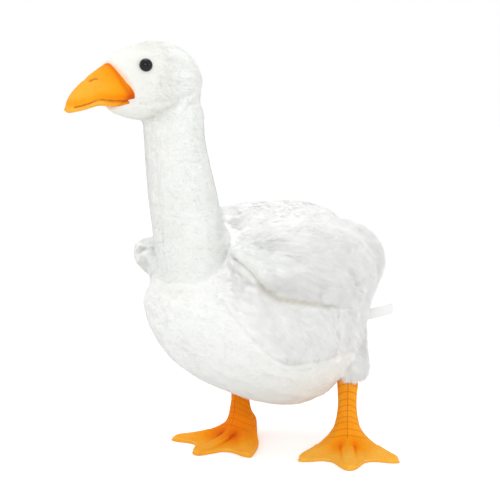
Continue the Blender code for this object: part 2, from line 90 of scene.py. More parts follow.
# The stuffing: a cloth simulation under pressure, its mesh size, its length and how far it may move the skin
STUFFING_VOXEL = 0.005
STUFFING_PRESSURE = 4.0
STUFFING_FRAMES = 16
STUFFING_LIMIT = 0.004
# The stuffing blows up the body between these heights, from the thighs' hems to the upper neck.
HEM_HEIGHT = 0.100
NECK_HEIGHT = 0.300
# The height of the wings' underside along the body: Y and Z
WING_UNDERSIDE = ((-0.09, 0.222), (-0.03, 0.205), (0.03, 0.186), (0.08, 0.182))
# The way that the pile lies: at a height, how far back and how far up
COMB = ((0.06, 0.1, -1.0), (0.12, 0.5, -0.8), (0.20, 0.8, -0.6), (0.23, 0.9, -0.4), (0.28, 0.1, -1.0),
        (0.35, 0.1, -1.0), (0.375, 1.0, -0.2))
LYING_SHARE = 0.84
BILL_COLLAR = 0.0024

# Lines that the photograph shows on the near side, in its pixels; those of the body and the bill are
# mirrored onto the far side.
WING_CREASE = ((228, 259), (236, 265), (244, 272), (255, 283), (267, 293), (282, 300), (301, 304),
               (320, 307), (340, 309), (358, 307))
WING_RIDGE = ((286, 274), (301, 272), (320, 278), (340, 284), (355, 282))
WING_HOLLOW = ((282, 246), (300, 250), (320, 256), (340, 262), (356, 268))
SIDE_SEAM = ((217, 295), (232, 314), (244, 329), (255, 343), (261, 348), (273, 360), (286, 367), (303, 367),
             (320, 364), (336, 359))
THIGH_FOLD = ((342, 316), (342, 330), (341, 345), (340, 362))
NECK_SEAM = ((154, 152), (156, 170), (158, 188), (160, 206), (161, 224), (162, 244))
CHEEK_FOLD = ((143, 106), (154, 104), (165, 103), (177, 101), (190, 97), (197, 91))
JAW_CREASE = ((141, 122), (148, 122), (156, 120), (166, 115), (174, 110), (181, 104))
BILL_SIDE = ((116, 68), (120, 75), (124, 82))
BILL_CORNER = ((130, 103), (134, 101))
REAR_CREASE = ((362, 240), (359, 250), (358, 262), (359, 274), (364, 288))
REAR_WRINKLES = (((368, 252), (370, 262), (368, 274)), ((376, 256), (377, 266), (375, 276)))
# The lines pressed into both sides of the skin: depth, half width and strength of the painted shade along
# them
CREASE_SIZES = (0.0050, 0.0032, 0.62)
PRESSED_LINES = (
    (WING_RIDGE, -0.0040, 0.0070, 0.0),
    (WING_HOLLOW, 0.0075, 0.0180, 0.0),
    (SIDE_SEAM, 0.0013, 0.0022, 0.12),
    (THIGH_FOLD, 0.0030, 0.0040, 0.08),
    (REAR_CREASE, 0.0045, 0.0045, 0.08),
    (REAR_WRINKLES[0], 0.0028, 0.0030, 0.06),
    (REAR_WRINKLES[1], 0.0028, 0.0030, 0.06),
)
# The lines pressed into the near side alone
NEAR_LINES = (
    (NECK_SEAM, 0.0007, 0.0020, 0.05),
    (CHEEK_FOLD, 0.0009, 0.0028, 0.05),
    (JAW_CREASE, 0.0026, 0.0045, 0.26),
)
NAPE_HEIGHT = 0.360
NAPE_SWELL = 0.0060
EYE_SOCKET = 0.0016
# Lines beside the bill on both sides of the head: rise and half width
BILL_MARKS = ((BILL_SIDE, 0.0013, 0.0075), (BILL_CORNER, -0.0024, 0.0050))

# The bill: place ahead of the head's middle, heights of its top, widest line and underside, half width
BILL_STATIONS = (
    (0.0240, 0.0150, -0.006, -0.0160, 0.0230),
    (0.0400, 0.0180, -0.009, -0.0215, 0.0245),
    (0.0530, 0.0165, -0.012, -0.0245, 0.0225),
    (0.0650, 0.0105, -0.015, -0.0255, 0.0195),
    (0.0760, 0.0025, -0.018, -0.0260, 0.0170),
    (0.0860, -0.0055, -0.021, -0.0272, 0.0135),
    (0.0935, -0.0135, -0.024, -0.0285, 0.0095),
    (0.0975, -0.0210, -0.025, -0.0290, 0.0050),
)
BILL_TIP_START = 0.0945
# The lower edge's waves: where along the bill, how wide and how high
BILL_WAVES = ((0.067, 0.011, 0.0030), (0.036, 0.010, -0.0018))
MOUTH_FOLD = ((136, 100), (130, 101), (124, 101.7), (112, 101.7), (100.4, 99.5), (94, 101.5), (88.7, 103.9),
              (81, 106), (74, 107.5))
NOSTRIL = ((89.4, 80.6), (92.5, 79.0), (95.5, 78.4), (98.2, 79.2))

# Feet: ankle places, headings of the middle toes, and sizes
ANKLES = {"left_leg": (0.0408, 0.0997), "right_leg": (-0.0672, 0.0517)}
# Painted light and shade on each leg: the left leg lighter, the right one darker where it stands in the
# belly's shadow
LEG_LIGHT_AND_SHADE = {"left_leg": 0.14, "right_leg": -0.16}
TOE_TURNS = {"left_leg": math.radians(37.5), "right_leg": math.radians(6.0)}
SIDE_TOE_ANGLE = math.radians(43.0)
MIDDLE_TOE = 0.083
SIDE_TOE = 0.077
WEB = 0.060
HEEL = 0.018
WEB_HEIGHT = 0.0030
MIDDLE_RIDGE = 0.0058
SIDE_RIDGE = 0.0066
SOLE_EDGE = 0.0020
ANKLE_RINGS = 110
FOOT_RINGS = 60
# The leg, as height and radius, and the flare below it over the foot, as reach and height
SHANK = ((0.022, 0.0130), (0.030, 0.0113), (0.040, 0.0099), (0.048, 0.0097), (0.060, 0.0105),
         (0.080, 0.0120), (0.098, 0.0122))
INSTEP = ((0.0130, 0.0220), (0.0146, 0.0178), (0.0170, 0.0142), (0.0205, 0.0110), (0.0250, 0.0080),
          (0.0310, 0.0055), (0.0400, 0.0035), (0.0600, 0.0000))
STRIPES = (0.0040, 0.0100, 0.0158, 0.0221, 0.0293, 0.0345, 0.0408, 0.0465, 0.0533, 0.0616, 0.0700, 0.0790,
           0.0880)

# Eyes: the dome's radius and height, how far it stands off its washer, and the depth of its skirt
EYE_RADIUS = 0.0058
EYE_HEIGHT = 0.0048
EYE_STANDOFF = 0.0058
EYE_SKIRT = 0.0010

# Colours
LONG_PALE = (0.972, 0.975, 0.966)
LONG_SHADED = (0.945, 0.952, 0.942)
VELVET_PALE = (0.890, 0.903, 0.878)
VELVET_SHADED = (0.864, 0.878, 0.850)
# What each value on the white pile turns it towards: short pile, painted shade in streaks between clumps,
# painted shade in creases, seams, eye sockets and over the face, orange near the bill
PILE_TINTS = (
    ("short", (0.878, 0.889, 0.864)),
    ("shade", (0.72, 0.735, 0.705)),
    ("painted_shade", (0.42, 0.37, 0.24)),
    ("stain", (1.0, 0.40, 0.04)),
)
INK_COLOUR = (0.45, 0.085, 0.004)
STRIPE_COLOUR = (0.62, 0.13, 0.006)
SEAM_COLOUR = (0.50, 0.10, 0.005)

# Light: the world's strength, then each lamp's place, aim, size and power
WORLD_LIGHT = 0.90
LAMPS = (
    ("key", (0.82, -1.05, 0.76), (0.0, -0.05, 0.30), 0.20, 3.45),
    ("fill", (-1.4, -1.3, 0.8), (0.0, 0.0, 0.25), 0.8, 2.4),
    ("side", (1.9, 0.5, 0.9), (0.0, 0.05, 0.2), 0.9, 2.8),
    ("top", (-0.3, 0.2, 2.2), (0.0, 0.0, 0.2), 1.2, 9.0),
)
FLOOR_HALF = 6.0
FLOOR_PALE = 0.86
FLOOR_GLOW = 0.30


def soft_noise(points, size, seed):
    """Smooth random values from -1 to 1 over space; size is the distance between its bumps."""
    table = np.random.default_rng(seed).uniform(-1.0, 1.0, (32, 32, 32))
    scaled = np.asarray(points) / size
    cell = np.floor(scaled).astype(int)
    part = scaled - cell
    part = part * part * (3.0 - 2.0 * part)
    total = np.zeros(len(scaled))
    for corner in range(8):
        step = np.array([corner & 1, corner >> 1 & 1, corner >> 2 & 1])
        share = np.prod(np.where(step, part, 1.0 - part), axis=1)
        where = (cell + step) % 32
        total += share * table[where[:, 0], where[:, 1], where[:, 2]]
    return total


def noise_vectors(points, size, seed):
    return np.stack([soft_noise(points, size, seed + axis) for axis in range(3)], axis=1)


def clamped(values):
    return np.clip(values, 0.0, 1.0)


def unit(vectors):
    return vectors / np.maximum(np.linalg.norm(vectors, axis=1, keepdims=True), 1e-12)


def read(items, key, width, kind=np.int32):
    flat = np.empty(len(items) * width, dtype=kind)
    items.foreach_get(key, flat)
    return flat.reshape(-1, width)


def points_of(mesh):
    return read(mesh.vertices, "co", 3, float)


def triangles_of(mesh):
    mesh.calc_loop_triangles()
    return read(mesh.loop_triangles, "vertices", 3)


def edges_of(mesh):
    return read(mesh.edges, "vertices", 2)


def normals_of(points, triangles):
    corners = points[triangles]
    across = np.cross(corners[:, 1] - corners[:, 0], corners[:, 2] - corners[:, 0])
    total = np.zeros_like(points)
    for column in range(3):
        for axis in range(3):
            total[:, axis] += np.bincount(triangles[:, column], across[:, axis], len(points))
    return unit(total)


def neighbour_count(points, edges):
    return np.maximum(np.bincount(edges.ravel(), minlength=len(points))[:, None], 1)


def neighbour_mean(points, edges, count):
    total = np.zeros_like(points)
    for axis in range(3):
        total[:, axis] = (np.bincount(edges[:, 0], points[edges[:, 1], axis], len(points))
                          + np.bincount(edges[:, 1], points[edges[:, 0], axis], len(points)))
    return total / count


def smoothed(points, edges, weight, rounds):
    """Draws each point towards its neighbours' mean, by its own weight."""
    count = neighbour_count(points, edges)
    points = points.copy()
    for _ in range(rounds):
        points += (neighbour_mean(points, edges, count) - points) * weight[:, None]
    return points


def smoothed_value(values, edges, rounds):
    """Spreads one value a point over the surface."""
    return smoothed(np.stack([values] * 3, axis=1), edges, np.full(len(values), 0.5), rounds)[:, 0]


def filled(points, edges, triangles, weight, rounds):
    """Fills hollows: each point moves only outward, towards its neighbours' mean."""
    count = neighbour_count(points, edges)
    points = points.copy()
    for index in range(rounds):
        if index % 8 == 0:
            outward = normals_of(points, triangles)
        move = ((neighbour_mean(points, edges, count) - points) * outward).sum(axis=1)
        points += outward * (np.maximum(move, 0.0) * weight)[:, None]
    return points


def add_object(name, data):
    thing = bpy.data.objects.new(name, data)
    bpy.context.scene.collection.objects.link(thing)
    return thing


def stand_for(piece, node):
    """Puts a piece in a CAD node's place, and hides the node."""
    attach(piece, "root")
    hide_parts(node)


def ring_faces(rings, around):
    """Quads between rings of points, and a face that closes each end."""
    faces = []
    for ring in range(rings - 1):
        for index in range(around):
            after = (index + 1) % around
            faces.append((ring * around + index, ring * around + after,
                          (ring + 1) * around + after, (ring + 1) * around + index))
    faces.append(tuple(reversed(range(around))))
    faces.append(tuple((rings - 1) * around + index for index in range(around)))
    return faces


def make_mesh(name, points, faces, material, smooth=True):
    mesh = bpy.data.meshes.new(name)
    mesh.from_pydata(np.asarray(points).tolist(), [], faces)
    mesh.materials.append(material)
    thing = add_object(name, mesh)
    if smooth:
        mesh.shade_smooth()
    return thing


def set_values(mesh, name, values):
    layer = mesh.attributes.new(name, "FLOAT", "POINT")
    layer.data.foreach_set("value", np.asarray(values, dtype=np.float32))


def photo_ray(pixel):
    """Where the photograph's camera looks through a pixel."""
    turn = Matrix.Rotation(CAMERA_HEADING, 3, "Z") @ Matrix.Rotation(math.pi / 2.0 - CAMERA_FALL, 3, "X")
    scale = CAMERA_SENSOR / CAMERA_LENS / PHOTO_SIZE
    local = Vector(((pixel[0] - PHOTO_SIZE / 2.0) * scale, (PHOTO_SIZE / 2.0 - pixel[1]) * scale, -1.0))
    return (turn @ local).normalized()


def tree_of(points, triangles):
    return BVHTree.FromPolygons([Vector(p) for p in points], triangles.tolist())


def mesh_tree(mesh):
    return tree_of(points_of(mesh), triangles_of(mesh))


def distances(tree, places):
    return [tree.find_nearest(Vector(place))[3] for place in places]


def middle_of(node):
    return points_of(NODES[node].data).mean(axis=0)


def traced(tree, pixels):
    """A line of the photograph laid on the surface that it crosses, as closely set points."""
    found = []
    for one, other in zip(pixels, pixels[1:]):
        steps = max(2, int(math.dist(one, other)))
        for share in np.linspace(0.0, 1.0, steps + 1)[:-1]:
            pixel = (one[0] + (other[0] - one[0]) * share, one[1] + (other[1] - one[1]) * share)
            place, _, _, _ = tree.ray_cast(Vector(CAMERA_PLACE), photo_ray(pixel))
            if place is not None:
                found.append(place)
    return np.array(found)


def mirrored(line):
    return line * np.array([-1.0, 1.0, 1.0]) + np.array([2.0 * MIDDLE_X, 0.0, 0.0])


def mirrored_head(line):
    """The line's image on the other side of the head."""
    local = to_head(line)
    return np.array([head_point(ahead, -left, up) for ahead, left, up in local])


def distance_to(points, line):
    """Distance of each point from a line of closely set points, and how far along the line it is."""
    best = np.full(len(points), 1e9)
    where = np.zeros(len(points))
    for index, place in enumerate(line):
        away = np.linalg.norm(points - place, axis=1)
        nearer = away < best
        best[nearer] = away[nearer]
        where[nearer] = index / max(1, len(line) - 1)
    return best, where


def bell(distance, width):
    return np.exp(-(distance / width) ** 2)


def head_point(ahead, left, up):
    return HEAD_MIDDLE + HEAD_AHEAD * ahead + HEAD_LEFT * left + Vector((0.0, 0.0, up))


def to_head(points):
    """Places measured from the head's middle: ahead, to its left and up."""
    local = np.asarray(points) - np.array(HEAD_MIDDLE)
    return np.stack([local @ np.array(HEAD_AHEAD), local @ np.array(HEAD_LEFT), local[:, 2]], axis=1)


# Materials

def new_material(name, colour, roughness, sheen=0.0):
    material = bpy.data.materials.new(name)
    material.use_nodes = True
    shader = material.node_tree.nodes["Principled BSDF"]
    shader.inputs["Base Color"].default_value = (*colour, 1.0)
    shader.inputs["Roughness"].default_value = roughness
    shader.inputs["Sheen Weight"].default_value = sheen
    return material, material.node_tree, shader


def add_node(tree, kind, **settings):
    node = tree.nodes.new(kind)
    for key, value in settings.items():
        if key in node.inputs:
            node.inputs[key].default_value = value
        else:
            setattr(node, key, value)
    return node


def space(tree, stretch=(1.0, 1.0, 1.0)):
    place = add_node(tree, "ShaderNodeTexCoord")
    scaled = add_node(tree, "ShaderNodeMapping", Scale=stretch)
    tree.links.new(place.outputs["Object"], scaled.inputs["Vector"])
    return scaled.outputs["Vector"]


def noise_value(tree, scale, stretch=(1.0, 1.0, 1.0), detail=3.0):
    node = add_node(tree, "ShaderNodeTexNoise", Scale=scale, Detail=detail)
    tree.links.new(space(tree, stretch), node.inputs["Vector"])
    return node.outputs["Fac"]


def grey(level):
    return (level, level, level)


def ramp(tree, value, stops):
    node = add_node(tree, "ShaderNodeValToRGB")
    while len(node.color_ramp.elements) < len(stops):
        node.color_ramp.elements.new(0.5)
    for element, (place, colour) in zip(node.color_ramp.elements, stops):
        element.position = place
        element.color = (*colour, 1.0)
    tree.links.new(value, node.inputs["Fac"])
    return node.outputs["Color"]


def mixed(tree, share, one, other, blend="MIX"):
    node = add_node(tree, "ShaderNodeMix", data_type="RGBA", blend_type=blend)
    for value, socket in ((share, node.inputs[0]), (one, node.inputs[6]), (other, node.inputs[7])):
        if isinstance(value, (float, tuple)):
            socket.default_value = (*value, 1.0) if isinstance(value, tuple) else value
        else:
            tree.links.new(value, socket)
    return node.outputs[2]


def bumped(tree, shader, height, strength, distance):
    node = add_node(tree, "ShaderNodeBump", Strength=strength, Distance=distance)
    tree.links.new(height, node.inputs["Height"])
    tree.links.new(node.outputs["Normal"], shader.inputs["Normal"])


def attribute(tree, name):
    return add_node(tree, "ShaderNodeAttribute", attribute_name=name).outputs["Fac"]


def maths(tree, kind, one, other=None):
    node = add_node(tree, "ShaderNodeMath", operation=kind)
    for value, socket in ((one, node.inputs[0]), (other, node.inputs[1])):
        if isinstance(value, float):
            socket.default_value = value
        elif value is not None:
            tree.links.new(value, socket)
    return node.outputs[0]


def plush_material(name, pale, shaded, grain):
    material, tree, shader = new_material(name, pale, 0.95, 0.15)
    clouds = noise_value(tree, 28.0)
    colour = ramp(tree, clouds, ((0.35, shaded), (0.65, pale)))
    for value, tint in PILE_TINTS:
        colour = mixed(tree, attribute(tree, value), colour, tint)
    tree.links.new(colour, shader.inputs["Base Color"])
    bumped(tree, shader, noise_value(tree, grain, (1.0, 1.0, 1.6)), 0.35, 0.0012)
    return material


def orange_material():
    material, tree, shader = new_material("orange_nap", (1.0, 0.37, 0.02), 0.85)
    shader.inputs["Specular IOR Level"].default_value = 0.12
    # The orange's tone from dark red to pale orange; it also carries painted light and shade
    tone_and_painted_shading = ramp(tree, attribute(tree, "tone_and_painted_shading"), (
        (0.0, (0.66, 0.090, 0.001)), (0.30, (0.90, 0.22, 0.002)), (0.60, (0.97, 0.36, 0.007)),
        (1.0, (0.98, 0.49, 0.055))))
    full = (0.7, grey(1.0))
    nap = ramp(tree, noise_value(tree, 420.0, detail=4.0), ((0.3, (0.94, 0.91, 0.88)), full))
    blotches = ramp(tree, noise_value(tree, 60.0), ((0.3, (0.95, 0.90, 0.85)), full))
    colour = mixed(tree, 1.0, tone_and_painted_shading, nap, "MULTIPLY")
    colour = mixed(tree, 1.0, colour, blotches, "MULTIPLY")
    colour = mixed(tree, attribute(tree, "ink"), colour, INK_COLOUR)
    tree.links.new(colour, shader.inputs["Base Color"])
    bumped(tree, shader, noise_value(tree, 900.0), 0.25, 0.0004)
    return material


def striped_orange():
    material = orange_material()
    material.name = "orange_nap_striped"
    tree = material.node_tree
    shader = tree.nodes["Principled BSDF"]
    colour = shader.inputs["Base Color"].links[0].from_socket
    part = maths(tree, "FRACT", attribute(tree, "band"))
    near = maths(tree, "ABSOLUTE", maths(tree, "SUBTRACT", part, 0.5))
    line = ramp(tree, near, ((0.0, grey(0.62)), (0.05, grey(0.38)), (0.13, grey(0.0))))
    seam = ramp(tree, attribute(tree, "seam"), ((0.0, grey(0.65)), (0.08, grey(0.45)), (0.2, grey(0.0))))
    colour = mixed(tree, line, colour, STRIPE_COLOUR)
    colour = mixed(tree, seam, colour, SEAM_COLOUR)
    tree.links.new(colour, shader.inputs["Base Color"])
    return material


PLUSH = plush_material("long_white_pile", LONG_PALE, LONG_SHADED, 260.0)
VELVET = plush_material("short_white_pile", VELVET_PALE, VELVET_SHADED, 600.0)
BILL_CLOTH = orange_material()
FOOT_CLOTH = striped_orange()


# Stuffed skins: the CAD solids as one sewn surface, then parted into pieces again

def whole_form(mesh):
    """The outer form of a convex piece, without the pockets cut into it."""
    body = bmesh.new()
    for vertex in mesh.vertices:
        body.verts.new(vertex.co)
    hull = bmesh.ops.convex_hull(body, input=body.verts)
    inner = [item for item in hull["geom_interior"] if isinstance(item, bmesh.types.BMVert)]
    bmesh.ops.delete(body, geom=inner, context="VERTS")
    whole = bpy.data.meshes.new("whole_form")
    body.to_mesh(whole)
    body.free()
    return whole


def voxel_mesh(thing, voxel):
    fuse = thing.modifiers.new("Fuse", "REMESH")
    fuse.mode = "VOXEL"
    fuse.voxel_size = voxel
    graph = bpy.context.evaluated_depsgraph_get()
    mesh = bpy.data.meshes.new_from_object(thing.evaluated_get(graph), depsgraph=graph)
    thing.modifiers.clear()
    return mesh


def joined_surface():
    points = []
    faces = []
    for name in STUFFED:
        mesh = NODES[name].data
        if name == "head":
            mesh = whole_form(mesh)
        place = points_of(mesh)
        corners = triangles_of(mesh)
        place = place + normals_of(place, corners) * SKIN_OVERLAP
        faces += (corners + sum(len(p) for p in points)).tolist()
        points.append(place)
    rough = make_mesh("rough_skin", np.concatenate(points), faces, PLUSH)
    mesh = voxel_mesh(rough, SKIN_VOXEL)
    bpy.data.objects.remove(rough, do_unlink=True)
    return mesh


def largest_part(count, edges):
    """Which points belong to the largest connected part."""
    label = np.arange(count)
    while True:
        low = np.minimum(label[edges[:, 0]], label[edges[:, 1]])
        fresh = label.copy()
        np.minimum.at(fresh, edges[:, 0], low)
        np.minimum.at(fresh, edges[:, 1], low)
        fresh = fresh[fresh]
        if (fresh == label).all():
            return label == np.bincount(label).argmax()
        label = fresh


def nearest_nodes(points):
    """The distance from each point to each stuffed node, one column a node."""
    away = np.empty((len(points), len(STUFFED)))
    for column, name in enumerate(STUFFED):
        away[:, column] = distances(mesh_tree(NODES[name].data), points)
    return away


def is_part(column, *names):
    return np.isin(column, [STUFFED.index(name) for name in names])


def stuffed_move(points, quads, held_lines):
    """How far each point moves when the skin is blown up as cloth, held fast along its seams."""
    scene = bpy.context.scene
    bag = make_mesh("stuffing", points, quads, PLUSH)
    bag.data = voxel_mesh(bag, STUFFING_VOXEL)
    before = points_of(bag.data)
    to_seam, _ = distance_to(before, held_lines)
    held = bag.vertex_groups.new(name="held")
    held.add(np.where(to_seam < STUFFING_VOXEL)[0].tolist(), 1.0, "REPLACE")
    still = np.where((before[:, 2] < HEM_HEIGHT) | (before[:, 2] > NECK_HEIGHT))[0]
    held.add(still.tolist(), 1.0, "REPLACE")
    cloth = bag.modifiers.new("Pressure", "CLOTH")
    cloth.settings.use_pressure = True
    cloth.settings.uniform_pressure_force = STUFFING_PRESSURE
    cloth.settings.effector_weights.gravity = 0.0
    cloth.settings.vertex_group_mass = "held"
    cloth.collision_settings.use_collision = False
    for number in range(1, STUFFING_FRAMES + 1):
        scene.frame_set(number)
    after = points_of(bag.evaluated_get(bpy.context.evaluated_depsgraph_get()).data)
    scene.frame_set(1)
    move = after - before
    length = np.linalg.norm(move, axis=1, keepdims=True)
    move *= np.minimum(1.0, STUFFING_LIMIT / np.maximum(length, 1e-9))
    bpy.data.objects.remove(bag, do_unlink=True)
    tree = KDTree(len(before))
    for index, place in enumerate(before):
        tree.insert(place, index)
    tree.balance()
    near = np.array([[index for _, index, _ in tree.find_n(place, 4)] for place in points])
    return move[near].mean(axis=1)


def face_share(places):
    """Shorter pile towards the eyes and the bill, and none over the eyes."""
    share = np.ones(len(places))
    for eye in ("left_eye", "right_eye"):
        to_eye = np.linalg.norm(places - middle_of(eye), axis=1)
        share *= np.interp(to_eye, (0.0060, 0.0070, 0.0150), (0.0, 0.5, 1.0))
    ahead = to_head(places)[:, 0]
    return share * np.clip(1.0 - (ahead - 0.020) / 0.050, 0.50, 1.0)


def front_share(places):
    """1 on the bright short pile at the wings' shoulders, 0 farther back."""
    return clamped((-0.030 - places[:, 1]) / 0.050)


def belly_share(places):
    """1 on the short-pile panel of the chest and belly, fading over its seam to 0 on the long pile."""
    line = np.concatenate([side_seam, mirrored(side_seam)])
    order = np.argsort(line[:, 1])
    height = np.interp(places[:, 1], line[order, 1], line[order, 2], left=0.30)
    reach = np.interp(places[:, 1], (-0.090, -0.020), (0.060, 0.010))
    return clamped(1.0 - (places[:, 2] - height) / reach)


def short_share(name, places):
    """1 where the pile is short: on the head, the panel of the chest and belly, and the shoulders."""
    if name == "torso":
        return belly_share(places)
    if "wing" in name:
        return front_share(places)
    return np.full(len(places), float(name == "head"))


# The sewn surface, and which node each of its points lies nearest to
skin = joined_surface()
skin_points = points_of(skin)
skin_edges = edges_of(skin)
skin_quads = [tuple(face.vertices) for face in skin.polygons]
kept = largest_part(len(skin_points), skin_edges)
skin_triangles = triangles_of(skin)
away = nearest_nodes(skin_points)
order = np.argsort(away, axis=1)
nearest = order[:, 0]
second = order[:, 1]
by_wing = is_part(nearest, *WINGS) | is_part(second, *WINGS)
by_head = is_part(nearest, "head") | is_part(second, "head")
is_neck_or_head = is_part(nearest, "neck", "head")
reach_out = away[np.arange(len(skin_points)), second]

# Hollows between the pieces are filled and smoothed, but not under the wings and not at the hems.
tree = tree_of(skin_points, skin_triangles)
crease = traced(tree, WING_CREASE)
crease_both = np.concatenate([crease, mirrored(crease)])
to_crease, _ = distance_to(skin_points, crease_both)
underside = np.interp(skin_points[:, 1], *zip(*WING_UNDERSIDE))
under_wing = clamped((underside - skin_points[:, 2]) / 0.010) * by_wing
at_rear = clamped((skin_points[:, 1] - 0.030) / 0.030)
behind_front = clamped((skin_points[:, 1] - crease[len(crease) // 4, 1]) / 0.015)
keep_crease = under_wing * (1.0 - at_rear) * behind_front
fill = bell(reach_out, 0.050) * (1.0 - keep_crease)
fill *= clamped((skin_points[:, 2] - HEM_HEIGHT) / 0.030)
fill[by_head] = 0.8 * bell(reach_out[by_head], 0.010) * (skin_points[by_head, 1] > HEAD_MIDDLE.y + 0.010)
skin_points = filled(skin_points, skin_edges, skin_triangles, 0.9 * fill, 400)
weight = 0.10 + 0.60 * bell(reach_out, 0.012)
weight *= 1.0 - 0.85 * keep_crease
weight[by_head] = 0.10 + 0.25 * bell(reach_out[by_head], 0.009)
weight *= 1.0 - 0.9 * bell(to_crease, 0.010) * (1.0 - at_rear) * behind_front
at_hem = is_part(nearest, *THIGHS) * clamped((HEM_HEIGHT - skin_points[:, 2]) / 0.010)
weight *= 1.0 - 0.85 * at_hem
skin_points = smoothed(skin_points, skin_edges, weight, 24)
normals = normals_of(skin_points, skin_triangles)

# Creases, seams and soft unevenness
tree = tree_of(skin_points, skin_triangles)
side_seam = traced(tree, SIDE_SEAM)
sunk = [(crease, *CREASE_SIZES)] + [(traced(tree, pixels), *sizes) for pixels, *sizes in PRESSED_LINES]
seams = np.concatenate([both for line in (crease, side_seam) for both in (line, mirrored(line))])
skin_points = skin_points + stuffed_move(skin_points, skin_quads, seams)
skin_points = smoothed(skin_points, skin_edges, np.full(len(skin_points), 0.3), 4)
normals = normals_of(skin_points, skin_triangles)
lift = np.zeros(len(skin_points))
painted_shade = np.zeros(len(skin_points))
trim = np.zeros(len(skin_points))
# Painted shade: the colour darkens along the creases, folds and seams, where they lie in shadow; on the far
# side by half
for line, low, width, shade_strength in sunk:
    for both in (line, mirrored(line)):
        gap, along = distance_to(skin_points, both)
        ends = clamped(along / 0.10) * clamped((1.0 - along) / 0.30)
        lift -= low * bell(gap, width)
        seen = 1.0 if both is line else 0.5
        painted_shade = np.maximum(painted_shade, shade_strength * seen * ends * bell(gap, 0.0017))
        trim = np.maximum(trim, min(1.0, 2.0 * shade_strength) * ends * bell(gap, 0.0044 if shade_strength > 0.5 else 0.0026))
for pixels, low, width, shade_strength in NEAR_LINES:
    gap, _ = distance_to(skin_points, traced(tree, pixels))
    lift -= low * bell(gap, width)
    painted_shade = np.maximum(painted_shade, shade_strength * bell(gap, 0.0020))

# Fur that rises round the base of the bill, sockets round the eyes, and painted shade over the face and in
# the sockets
near_face = np.where(is_part(nearest, "head"))[0]
to_bill = np.full(len(skin_points), 1.0)
to_bill[near_face] = distances(mesh_tree(NODES["upper_beak"].data), skin_points[near_face])
lift += BILL_COLLAR * bell(to_bill, 0.0090)
stain = 0.45 * bell(to_bill, 0.0014)
for pixels, rise, width in BILL_MARKS:
    line = traced(tree, pixels)
    for both in (line, mirrored_head(line)):
        lift += rise * bell(distance_to(skin_points, both)[0], width)
above = skin_points[:, 2] - NAPE_HEIGHT
nape = bell(above, np.where(above > 0.0, 0.0080, 0.0180)) * clamped(1.2 * normals[:, 1] + 0.2)
nape = smoothed_value(nape, skin_edges, 20)
lift += NAPE_SWELL * nape * is_neck_or_head
# Painted shade over the front of the face and in the eye sockets
face = is_part(nearest, "head") * clamped(to_head(skin_points)[:, 0] / 0.012)
painted_shade = np.maximum(painted_shade, 0.150 * face)
for eye in ("left_eye", "right_eye"):
    to_eye = np.linalg.norm(skin_points - middle_of(eye), axis=1)
    lift -= EYE_SOCKET * bell(to_eye, 0.0095)
    painted_shade = np.maximum(painted_shade, 0.14 * bell(to_eye - 0.0055, 0.0045))

depth = np.array([PILE[name][0] for name in STUFFED])[nearest]
uneven = np.where(is_neck_or_head, 0.2, np.where(is_part(nearest, *THIGHS), 0.8, 1.0))
uneven *= (1.0 - 0.55 * belly_share(skin_points)) * (1.0 - 0.5 * clamped(normals[:, 2]))
lift += uneven * (0.0018 * soft_noise(skin_points, 0.034, 3) + 0.0007 * soft_noise(skin_points, 0.013, 5))
lift += uneven * 0.0003 * soft_noise(skin_points, 0.006, 8)
depth = depth * (1.0 - 0.7 * at_hem)
skin_points = skin_points + normals * (lift - smoothed_value(depth, skin_edges, 12))[:, None]


def part_of_skin(name):
    """The faces that lie nearest to one node, as a piece of their own."""
    index = STUFFED.index(name)
    faces = [f for f in skin_quads if kept[f[0]] and np.bincount(nearest[list(f)]).argmax() == index]
    used = sorted({v for f in faces for v in f})
    renumber = {v: i for i, v in enumerate(used)}
    material = VELVET if name == "neck" else PLUSH
    faces = [tuple(renumber[v] for v in f) for f in faces]
    piece = make_mesh(name + "_skin", skin_points[used], faces, material)
    for key, values in (("painted_shade", painted_shade), ("stain", stain), ("trim", trim)):
        set_values(piece.data, key, values[used])
    set_values(piece.data, "short", short_share(name, skin_points[used]))
    stand_for(piece, name)
    return piece


def comb(places):
    """The way that the pile lies: back along the head and body, down the neck, the sides and the thighs."""
    heights, back, up = zip(*COMB)
    return np.stack([np.zeros(len(places)), np.interp(places[:, 2], heights, back),
                     np.interp(places[:, 2], heights, up)], axis=1)


def scattered(mesh, count, draw):
    """Random places on a surface, evenly dense, with the normal, painted shade, stain and trim at each."""
    places = points_of(mesh)
    corners = triangles_of(mesh)
    normals = normals_of(places, corners)
    abc = places[corners]
    area = np.linalg.norm(np.cross(abc[:, 1] - abc[:, 0], abc[:, 2] - abc[:, 0]), axis=1)
    chosen = draw.choice(len(corners), count, p=area / area.sum())
    share = draw.dirichlet((1.0, 1.0, 1.0), count)
    found = []
    for name in ("painted_shade", "stain", "trim"):
        values = read(mesh.attributes[name].data, "value", 1, np.float32)[:, 0]
        found.append((values[corners[chosen]] * share).sum(axis=1))
    share = share[:, :, None]
    return (abc[chosen] * share).sum(axis=1), unit((normals[corners[chosen]] * share).sum(axis=1)), *found


